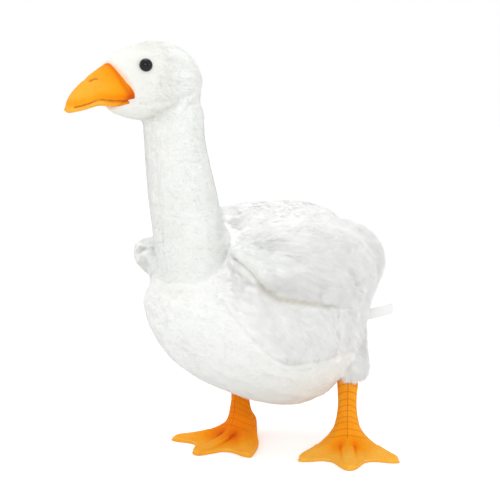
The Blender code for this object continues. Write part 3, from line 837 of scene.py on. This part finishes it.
def make_tufts(name, tufts, normals, material, values):
    """One triangle a tuft, shaded as the skin under it; each has its own cell in the texture map."""
    count = len(tufts)
    turned = np.cross(tufts[:, 1] - tufts[:, 0], tufts[:, 2] - tufts[:, 0])
    inward = (turned * normals).sum(axis=1) < 0.0
    tufts[inward] = tufts[inward][:, [1, 0, 2]]
    fur = bpy.data.meshes.new(name)
    fur.vertices.add(count * 3)
    fur.vertices.foreach_set("co", tufts.reshape(-1).astype(np.float32))
    fur.loops.add(count * 3)
    fur.loops.foreach_set("vertex_index", np.arange(count * 3, dtype=np.int32))
    fur.polygons.add(count)
    fur.polygons.foreach_set("loop_start", np.arange(0, count * 3, 3, dtype=np.int32))
    fur.update(calc_edges=True)
    shading = fur.attributes.new("custom_normal", "FLOAT_VECTOR", "POINT")
    shading.data.foreach_set("vector", np.repeat(normals, 3, axis=0).reshape(-1).astype(np.float32))
    cells = int(math.ceil(math.sqrt(count)))
    low = np.stack([np.arange(count) % cells, np.arange(count) // cells], axis=1)[:, None, :]
    inside = np.array([[0.1, 0.1], [0.9, 0.1], [0.5, 0.9]])[None]
    layer = fur.uv_layers.new(name="OFBake")
    layer.data.foreach_set("uv", ((low + inside) / cells).reshape(-1).astype(np.float32))
    for key, value in values.items():
        set_values(fur, key, np.repeat(value, 3))
    fur.materials.append(material)
    return add_object(name, fur)


def add_pile(skin_piece, name, seed):
    """Tapering tufts over a skin, combed and gathered in clumps, most of them lying, some standing."""
    draw = np.random.default_rng(seed)
    _, full_length, count, streak_shade_share = PILE[name]
    root, normal, shade_strength, stained, trimmed = scattered(skin_piece.data, count, draw)
    short = name in ("neck", "head")
    clump = 0.12 if short else 0.42
    swirl = noise_vectors(root, 0.014, seed * 10)
    lay = unit(comb(root))
    if name == "neck":
        grain = root * np.array([1.0, 1.0, 3.5])
    else:
        grain = root - lay * ((root * lay).sum(axis=1, keepdims=True) * 0.7)
    streak = soft_noise(grain, 0.0050, seed * 10 + 7) + 0.6 * soft_noise(grain, 0.0024, seed * 10 + 8)
    # Painted shade: tufts darkened in streaks between the clumps, where they would lie in each other's
    # shadow
    shade = clamped(0.08 + 0.60 * streak) * streak_shade_share
    fine = noise_vectors(grain, 0.0055, seed * 10 + 4)
    smooth = belly_share(root)[:, None] if name == "torso" else np.full((count, 1), float(short))
    clump = clump * (1.0 - 0.5 * smooth)
    way = comb(root) + swirl * clump + fine * clump * 0.8 + draw.normal(0.0, 0.14, (count, 3))
    way = unit(way - normal * (way * normal).sum(axis=1, keepdims=True))
    lying = draw.uniform(0.0, 1.0, (count, 1)) < LYING_SHARE
    stand = np.where(lying, draw.uniform(0.06, 0.24, (count, 1)), draw.uniform(0.30, 0.80, (count, 1)))
    if name == "neck":
        stand = stand + 0.4
    direction = unit(normal * stand + way)
    length = full_length * draw.uniform(0.7, 1.15, count) * (1.0 - 0.8 * trimmed) * (1.0 - 0.25 * streak)
    if name == "torso" or "wing" in name:
        length *= 1.0 - 0.60 * short_share(name, root)
        on_back = clamped((root[:, 1] + 0.060) / 0.040)
        length *= 1.0 - 0.35 * clamped((normal[:, 2] - 0.5) / 0.4) * on_back
    if name == "head":
        length *= face_share(root)
    turn = draw.uniform(-0.5, 0.5, (count, 1))
    side = unit(np.cross(direction, normal))
    side = unit(side * np.cos(turn) + np.cross(direction, side) * np.sin(turn))
    width = PILE_WIDTH * (0.6 if name == "neck" else 1.0) * draw.uniform(0.7, 1.2, (count, 1))
    width = np.where(lying, width, width * 0.45)
    root = root - normal * 0.0004
    half = side * width / 2.0
    tufts = np.stack([root - half, root + half, root + direction * length[:, None]], axis=1)
    grown = length > 0.0004
    soft = 1.0 - 0.35 * smooth
    shading = unit(normal + (0.12 * swirl + 0.11 * fine) * soft + 0.10 * draw.normal(0.0, 1.0, (count, 3)))
    # The tufts carry the skin's painted shade of creases, seams, face and sockets
    values = {"painted_shade": shade_strength[grown] * 0.8, "shade": shade[grown], "short": short_share(name, root)[grown],
              "stain": stained[grown] * draw.uniform(0.0, 1.0, grown.sum())}
    material = skin_piece.data.materials[0]
    piece = make_tufts(name + "_pile", tufts[grown], shading[grown], material, values)
    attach(piece, "root")


for number, name in enumerate(STUFFED):
    add_pile(part_of_skin(name), name, 20 + number)


# Bill

def make_bill():
    rings = 90
    around = 96
    start = BILL_STATIONS[0][0] - 0.004
    end = BILL_STATIONS[-1][0] + 0.0008
    shares = 1.0 - (1.0 - np.linspace(0.0, 1.0, rings)) ** 1.5
    places = start + (end - start) * shares
    table = np.array(BILL_STATIONS)
    fine = np.linspace(table[0, 0] - 0.004, table[-1, 0], 200)
    curves = []
    for column in range(1, 5):
        values = np.interp(fine, table[:, 0], table[:, column])
        for _ in range(160):
            values[1:-1] += 0.5 * ((values[:-2] + values[2:]) / 2.0 - values[1:-1])
        curves.append(values)
    points = []
    for place in places:
        top, widest, under, half = (np.interp(place, fine, values) for values in curves)
        closing = max(0.0, (place - BILL_TIP_START) / (end - BILL_TIP_START))
        closing = math.sqrt(max(0.0, 1.0 - closing ** 2))
        for middle, width, rise in BILL_WAVES:
            under += rise * math.exp(-((place - middle) / width) ** 2)
        for index in range(around):
            angle = 2.0 * math.pi * index / around
            across = math.cos(angle)
            rise = math.sin(angle)
            up = widest + (rise * (top - widest) if rise > 0.0 else rise * (widest - under)) * closing
            wide = half * closing * math.copysign(abs(across) ** 0.9, across)
            points.append(head_point(place, wide, up))
    bill = make_mesh("upper_beak_cloth", points, ring_faces(rings, around), BILL_CLOTH)
    flip_if_inside_out(bill)
    return bill


def flip_if_inside_out(thing):
    points = points_of(thing.data)
    corners = points[triangles_of(thing.data)]
    volume = (corners[:, 0] * np.cross(corners[:, 1], corners[:, 2])).sum()
    if volume < 0.0:
        thing.data.flip_normals()


def move_points(mesh, points):
    mesh.vertices.foreach_set("co", np.asarray(points, dtype=np.float32).reshape(-1))
    mesh.update()


bill = make_bill()
mesh = bill.data
points = points_of(mesh)
triangles = triangles_of(mesh)
normals = normals_of(points, triangles)
tree = tree_of(points, triangles)
fold = to_head(traced(tree, MOUTH_FOLD))
nostril = to_head(traced(tree, NOSTRIL))
local = to_head(points)


def beside(line):
    """Distance in the bill's own side view, the same on both sides."""
    flat = line * np.array([1.0, 0.0, 1.0])
    return distance_to(local * np.array([1.0, 0.0, 1.0]), flat)[0]


to_fold = beside(fold)
to_nostril = beside(nostril)
fold_order = np.argsort(fold[:, 0])
fold_height = np.interp(local[:, 0], fold[fold_order, 0], fold[fold_order, 2])
on_side = clamped(np.abs(local[:, 1]) / 0.004)
lip = bell(local[:, 2] - (fold_height - 0.0024), 0.0016) * on_side
lift = -0.0014 * bell(to_fold, 0.0011) * on_side + 0.0012 * lip - 0.0008 * bell(to_nostril, 0.0010)
lift += 0.0005 * soft_noise(points, 0.012, 31)
move_points(mesh, points + normals * lift[:, None])
to_fur = np.array(distances(mesh_tree(bpy.data.objects["head_skin"].data), points))
ink = 0.40 * bell(to_fur - 0.0014, 0.0010) + 0.85 * bell(to_fold, 0.0008) * on_side
ink = clamped(ink + 0.85 * bell(to_nostril, 0.0007))
# Bill tone: lighter to the tip and on the lip, darker at the crown near the head, in a band part way along
# and next to the fur; the dark strip under the lip is painted shade on the bill's underside
base = clamped((local[:, 0] - 0.040) / 0.040)
crown = clamped((local[:, 2] + 0.004) / 0.014)
tone_and_painted_shading = 0.48 + 0.38 * base - 0.36 * crown * (1.0 - base) - 0.40 * bell(local[:, 0] - 0.040, 0.009)
tone_and_painted_shading += 0.24 * lip - 0.22 * bell(local[:, 2] - fold_height - 0.0035, 0.0030)
tone_and_painted_shading -= 0.40 * clamped((fold_height - 0.0040 - local[:, 2]) / 0.0015) * (1.0 - base)
tone_and_painted_shading += 0.05 * soft_noise(points, 0.012, 33) - 0.12 * bell(to_fur, 0.0050)
set_values(mesh, "tone_and_painted_shading", clamped(tone_and_painted_shading))
set_values(mesh, "ink", ink)
stand_for(bill, "upper_beak")


def fine_copy(name, node, material, rounds, raised):
    """A node's form with a fine even surface, moved a little."""
    thing = add_object(name, NODES[node].data.copy())
    mesh = voxel_mesh(thing, 0.0008)
    thing.data = mesh
    mesh.materials.clear()
    mesh.materials.append(material)
    points = smoothed(points_of(mesh), edges_of(mesh), np.full(len(mesh.vertices), 0.5), rounds)
    move_points(mesh, points + np.array(raised))
    mesh.shade_smooth()
    return thing


raised = -HEAD_AHEAD * 0.004 + Vector((0.0, 0.0, 0.0022))
lower = fine_copy("lower_beak_cloth", "lower_beak", BILL_CLOTH, 4, raised)
mesh = lower.data
set_values(mesh, "tone_and_painted_shading", np.full(len(mesh.vertices), 0.22))
set_values(mesh, "ink", np.zeros(len(mesh.vertices)))
stand_for(lower, "lower_beak")


# Legs and webbed feet

def sole_reach(angle):
    """Length of the sole, at an angle from the middle toe."""
    turn = abs(angle)
    web_angle = SIDE_TOE_ANGLE / 2.0
    if turn <= web_angle:
        share = (1.0 + math.cos(math.pi * turn / web_angle)) / 2.0
        return WEB + (MIDDLE_TOE - WEB) * share ** 1.6
    if turn <= SIDE_TOE_ANGLE:
        share = (1.0 + math.cos(math.pi * (SIDE_TOE_ANGLE - turn) / web_angle)) / 2.0
        return WEB + (SIDE_TOE - WEB) * share ** 1.3
    share = ((math.pi - turn) / (math.pi - SIDE_TOE_ANGLE)) ** 6.0
    return HEEL + (SIDE_TOE - HEEL) * share


def foot_top(angle, reach):
    """Height of the foot's top: ridges along the toes, thin webs between them, and the flare of the leg."""
    ridge_height = 0.0062 + 0.0070 * max(0.0, 1.0 - reach / 0.060) ** 1.2
    ridge = 0.0
    for toe_angle in (-SIDE_TOE_ANGLE, 0.0, SIDE_TOE_ANGLE):
        turn = angle - toe_angle
        if abs(turn) < math.pi / 2.0:
            away = reach * math.sin(turn)
            width = MIDDLE_RIDGE if toe_angle == 0.0 else SIDE_RIDGE
            ridge = max(ridge, math.exp(-(away / width) ** 2))
    flare = float(np.interp(reach, *zip(*INSTEP)))
    height = WEB_HEIGHT + (ridge_height - WEB_HEIGHT) * ridge
    return (height ** 4 + flare ** 4) ** 0.25


def make_foot(name):
    ankle = Vector((*ANKLES[name], 0.0))
    heading = TOE_TURNS[name]
    around = 216
    angles = [2.0 * math.pi * index / around - math.pi for index in range(around)]
    heights, radii = zip(*SHANK)
    top_height = heights[-1] - 0.0006
    rings = []
    for share in (0.02, 0.35, 0.65, 0.90):
        rings.append([(share * sole_reach(a), 0.0) for a in angles])
    rings.append([(sole_reach(a) - 0.0012, 0.0) for a in angles])
    rings.append([(sole_reach(a) - 0.0002, 0.0008) for a in angles])
    rings.append([(sole_reach(a), SOLE_EDGE) for a in angles])
    instep = SHANK[0][1]
    for step in range(FOOT_RINGS):
        share = (step / FOOT_RINGS) ** 1.2
        ring = []
        for angle in angles:
            edge = sole_reach(angle) - 0.0004
            reach = edge + (instep - edge) * share
            inside = min(1.0, (sole_reach(angle) - reach) / 0.0045)
            rounding = math.sqrt(max(0.0, 1.0 - (1.0 - inside) ** 2))
            ring.append((reach, SOLE_EDGE + (foot_top(angle, reach) - SOLE_EDGE) * rounding))
        rings.append(ring)
    for step in range(ANKLE_RINGS):
        height = heights[0] + (top_height - heights[0]) * step / (ANKLE_RINGS - 1)
        rings.append([(float(np.interp(height, heights, radii)), height) for _ in angles])
    points = []
    for ring in rings:
        for angle, (reach, height) in zip(angles, ring):
            turned = heading + angle
            points.append(ankle + Vector((math.sin(turned) * reach, -math.cos(turned) * reach, height)))
    foot = make_mesh(name + "_cloth", points, ring_faces(len(rings), around), FOOT_CLOTH)
    flip_if_inside_out(foot)
    mesh = foot.data
    places = points_of(mesh)
    free = (places[:, 2] > 0.0015).astype(float)
    heel = np.array([-math.sin(heading), math.cos(heading), 0.0])
    behind = clamped((places - np.array(ankle)) @ heel / 0.010)
    places += heel * (0.0050 * behind * bell(places[:, 2] - 0.019, 0.0085))[:, None]
    places = smoothed(places, edges_of(mesh), free * 0.5, 10)
    normals = normals_of(places, triangles_of(mesh))
    flat = places - np.array(ankle)
    turned = np.arctan2(flat[:, 0], -flat[:, 1]) - heading
    turned = (turned + math.pi) % (2.0 * math.pi) - math.pi
    reach = np.linalg.norm(flat[:, :2], axis=1)
    seam = np.abs(turned) * reach + np.where(np.abs(turned) > 1.2, 1.0, 0.0)
    on_shank = clamped((places[:, 2] - 0.012) / 0.006)
    across = reach * np.sin(turned)
    leaf = 0.0052 * clamped((MIDDLE_TOE - reach) / 0.020) ** 0.5
    off_toe = np.abs(across) - leaf
    ahead = np.abs(turned) < 1.0
    piping = bell(off_toe, 0.0010) * (reach > 0.030) * ahead
    edge = np.array([sole_reach(a) for a in turned]) - reach
    piping = np.maximum(piping, bell(edge - 0.0022, 0.0012) * (reach > 0.035) * (places[:, 2] > 0.0025))
    groove = 0.75 * bell(off_toe - 0.0024, 0.0020) * clamped((reach - 0.016) / 0.008) * ahead
    lift = 0.0004 * bell(seam, 0.0012) * on_shank + 0.0007 * piping - 0.0011 * groove
    lift = free * (lift + 0.0003 * soft_noise(places, 0.008, 41))
    places = places + normals * lift[:, None]
    move_points(mesh, places)
    arched = places[:, 2] + 0.0045 * np.clip(np.abs(turned), 0.0, 1.6) ** 1.6
    band = np.interp(arched, STRIPES, np.arange(len(STRIPES)) + 0.5)
    band = np.where((reach > 0.022) | (arched < STRIPES[0] + 0.002), 0.0, band)
    set_values(mesh, "band", band)
    set_values(mesh, "seam", np.where(on_shank > 0.2, seam / 0.004, 1.0))
    # Painted light and shade on the foot: lighter out along the toes; darker in the pits between them,
    # beside the middle toe and at the leg's top under the thigh's hem. The piping is lighter.
    toes = clamped((reach - 0.020) / 0.040)
    pits = np.minimum(np.abs(turned - SIDE_TOE_ANGLE * 0.45), np.abs(turned + SIDE_TOE_ANGLE * 0.45))
    beside = bell(off_toe - 0.0024, 0.0018) * clamped((reach - 0.020) / 0.008) * ahead
    tone_and_painted_shading = 0.58 + 0.38 * toes - 0.34 * bell(pits, 0.34) * bell(reach - 0.028, 0.012) + 0.14 * piping
    tone_and_painted_shading -= 0.30 * beside * (1.0 - 0.5 * toes) + 0.45 * clamped((places[:, 2] - 0.076) / 0.006)
    tone_and_painted_shading += 0.05 * soft_noise(places, 0.012, 43) + LEG_LIGHT_AND_SHADE[name]
    set_values(mesh, "tone_and_painted_shading", clamped(tone_and_painted_shading))
    set_values(mesh, "ink", np.zeros(len(places)))
    stand_for(foot, name)


for name in ANKLES:
    make_foot(name)


# Eyes

def make_eye(side_name):
    washer = middle_of(side_name + "_eye_washer")
    axis = Vector(middle_of(side_name + "_eye") - washer).normalized()
    seat = Vector(washer) + axis * EYE_STANDOFF
    frame_turn = axis.to_track_quat("Z", "Y").to_matrix()
    slopes = np.linspace(0.0, math.pi / 2.0, 24)
    profile = [(EYE_RADIUS * math.sin(a), EYE_HEIGHT * math.cos(a)) for a in slopes]
    profile += [(EYE_RADIUS, -0.0002), (EYE_RADIUS, -EYE_SKIRT)]
    around = 64
    points = []
    for radius, height in profile[1:]:
        for index in range(around):
            angle = 2.0 * math.pi * index / around
            place = Vector((radius * math.cos(angle), radius * math.sin(angle), height))
            points.append(seat + frame_turn @ place)
    points.append(seat + frame_turn @ Vector((0.0, 0.0, profile[0][1])))
    faces = [(len(points) - 1, index, (index + 1) % around) for index in range(around)]
    for ring in range(len(profile) - 2):
        for index in range(around):
            after = (index + 1) % around
            faces.append((ring * around + index, (ring + 1) * around + index,
                          (ring + 1) * around + after, ring * around + after))
    faces.append(tuple((len(profile) - 2) * around + index for index in reversed(range(around))))
    thing = make_mesh(side_name + "_eye_dome", points, faces, GLOSS)
    flip_if_inside_out(thing)
    stand_for(thing, side_name + "_eye")


GLOSS, gloss_tree, gloss_shader = new_material("polished_black", (0.004, 0.004, 0.005), 0.04)
specks = ((0.3, (0.002, 0.002, 0.003)), (0.7, (0.005, 0.005, 0.006)))
speckle = ramp(gloss_tree, noise_value(gloss_tree, 900.0), specks)
gloss_tree.links.new(speckle, gloss_shader.inputs["Base Color"])
gloss_shader.inputs["Specular IOR Level"].default_value = 0.28
for side_name in ("left", "right"):
    make_eye(side_name)


# Label: a folded woven tape
LABEL_CLOTH, label_tree, label_shader = new_material("woven_tape", (0.9, 0.9, 0.89), 0.8, 0.1)
weave = add_node(label_tree, "ShaderNodeTexWave", Scale=900.0, Distortion=0.4)
label_tree.links.new(space(label_tree), weave.inputs["Vector"])
shade = ramp(label_tree, weave.outputs["Fac"], ((0.0, (0.84, 0.84, 0.83)), (1.0, (0.93, 0.93, 0.92))))
label_tree.links.new(shade, label_shader.inputs["Base Color"])
bumped(label_tree, label_shader, weave.outputs["Fac"], 0.3, 0.0003)


def make_label():
    corners = points_of(NODES["sewn_label"].data)
    middle = corners.mean(axis=0)
    _, _, axes = np.linalg.svd(corners - middle)
    long_axis, wide_axis, thin_axis = axes
    if long_axis[1] < 0.0:
        long_axis = -long_axis
    spread = (corners - middle) @ axes.T
    reach = (corners - middle).dot(long_axis)
    along = np.linspace(reach.min(), reach.max(), 40)
    across = np.linspace(spread[:, 1].min(), spread[:, 1].max(), 14)
    points = []
    for face in (1.0, -1.0):
        for a in along:
            share = (a - along[0]) / (along[-1] - along[0])
            wave = 0.0012 * math.sin(share * 4.2) * share
            for b in across:
                thick = face * 0.00035 * math.sqrt(max(0.0, 1.0 - share ** 12))
                points.append(middle + long_axis * a + wide_axis * b + thin_axis * (wave + thick))
    columns = len(across)
    rows = len(along)
    faces = []
    for face in range(2):
        start = face * rows * columns
        for row in range(rows - 1):
            for column in range(columns - 1):
                one = start + row * columns + column
                quad = (one, one + 1, one + 1 + columns, one + columns)
                faces.append(quad if face == 0 else tuple(reversed(quad)))
    other = rows * columns
    rim = [(row * columns, (row + 1) * columns) for row in range(rows - 1)]
    rim += [((row + 1) * columns + columns - 1, row * columns + columns - 1) for row in range(rows - 1)]
    rim += [(column + 1, column) for column in range(columns - 1)]
    last = (rows - 1) * columns
    rim += [(last + column, last + column + 1) for column in range(columns - 1)]
    faces += [(one, two, two + other, one + other) for one, two in rim]
    label = make_mesh("sewn_label_tape", points, faces, LABEL_CLOTH)
    flip_if_inside_out(label)
    stand_for(label, "sewn_label")


make_label()


# Inner parts keep their solids and get materials of their own.
def inner_material(name, roughness, scale, dark, pale, nodes):
    material, tree, shader = new_material(name, pale, roughness)
    mottled = ramp(tree, noise_value(tree, scale), ((0.3, dark), (0.7, pale)))
    tree.links.new(mottled, shader.inputs["Base Color"])
    for node in nodes:
        NODES[node].data.materials[0] = material
    return shader


steel = inner_material("drawn_steel", 0.35, 300.0, (0.45, 0.46, 0.48), (0.62, 0.63, 0.65),
                       ("left_leg_wire", "right_leg_wire", "neck_wire"))
steel.inputs["Metallic"].default_value = 1.0
inner_material("moulded_nylon", 0.5, 200.0, (0.78, 0.78, 0.76), (0.86, 0.86, 0.84),
               ("left_eye_washer", "right_eye_washer"))


# Studio

def background_rays(tree):
    """1 for the rays that find a plain white background: from the camera, in gloss and through glass."""
    rays = add_node(tree, "ShaderNodeLightPath")
    seen = maths(tree, "MAXIMUM", rays.outputs["Is Camera Ray"], rays.outputs["Is Glossy Ray"])
    return maths(tree, "MAXIMUM", seen, rays.outputs["Is Transmission Ray"])


def make_floor():
    material, tree, shader = new_material("white_floor", grey(FLOOR_PALE), 0.9)
    glow = add_node(tree, "ShaderNodeEmission")
    glow.inputs["Color"].default_value = (*grey(FLOOR_GLOW), 1.0)
    tree.links.new(background_rays(tree), glow.inputs["Strength"])
    both = add_node(tree, "ShaderNodeAddShader")
    tree.links.new(shader.outputs[0], both.inputs[0])
    tree.links.new(glow.outputs[0], both.inputs[1])
    tree.links.new(both.outputs[0], tree.nodes["Material Output"].inputs["Surface"])
    half = FLOOR_HALF
    corners = [(-half, -half, 0.0), (half, -half, 0.0), (half, half, 0.0), (-half, half, 0.0)]
    floor = make_mesh("studio_floor", corners, [(0, 1, 2, 3)], material, smooth=False)
    floor.location.z = CAD_BOX[0][2]


def make_world():
    world = bpy.data.worlds.new("studio")
    bpy.context.scene.world = world
    world.use_nodes = True
    tree = world.node_tree
    background = tree.nodes["Background"]
    added = maths(tree, "MULTIPLY", background_rays(tree), 1.0 - WORLD_LIGHT)
    strength = maths(tree, "ADD", added, WORLD_LIGHT)
    background.inputs["Color"].default_value = (1.0, 1.0, 1.0, 1.0)
    tree.links.new(strength, background.inputs["Strength"])


def add_lamp(name, place, aim, size, power):
    light = bpy.data.lights.new(name, "AREA")
    light.shape = "DISK"
    light.size = size
    light.energy = power
    lamp = add_object(name, light)
    lamp.location = place
    lamp.rotation_euler = (Vector(aim) - Vector(place)).to_track_quat("-Z", "Y").to_euler()


make_floor()
make_world()
for lamp in LAMPS:
    add_lamp(*lamp)

camera_data = bpy.data.cameras.new("photo_camera")
camera_data.lens = CAMERA_LENS
camera_data.sensor_width = CAMERA_SENSOR
camera = add_object("photo_camera", camera_data)
camera.location = CAMERA_PLACE
camera.rotation_euler = (math.pi / 2.0 - CAMERA_FALL, 0.0, CAMERA_HEADING)
bpy.context.scene.camera = camera
bpy.context.scene.view_settings.view_transform = "Standard"

bpy.context.view_layer.update()
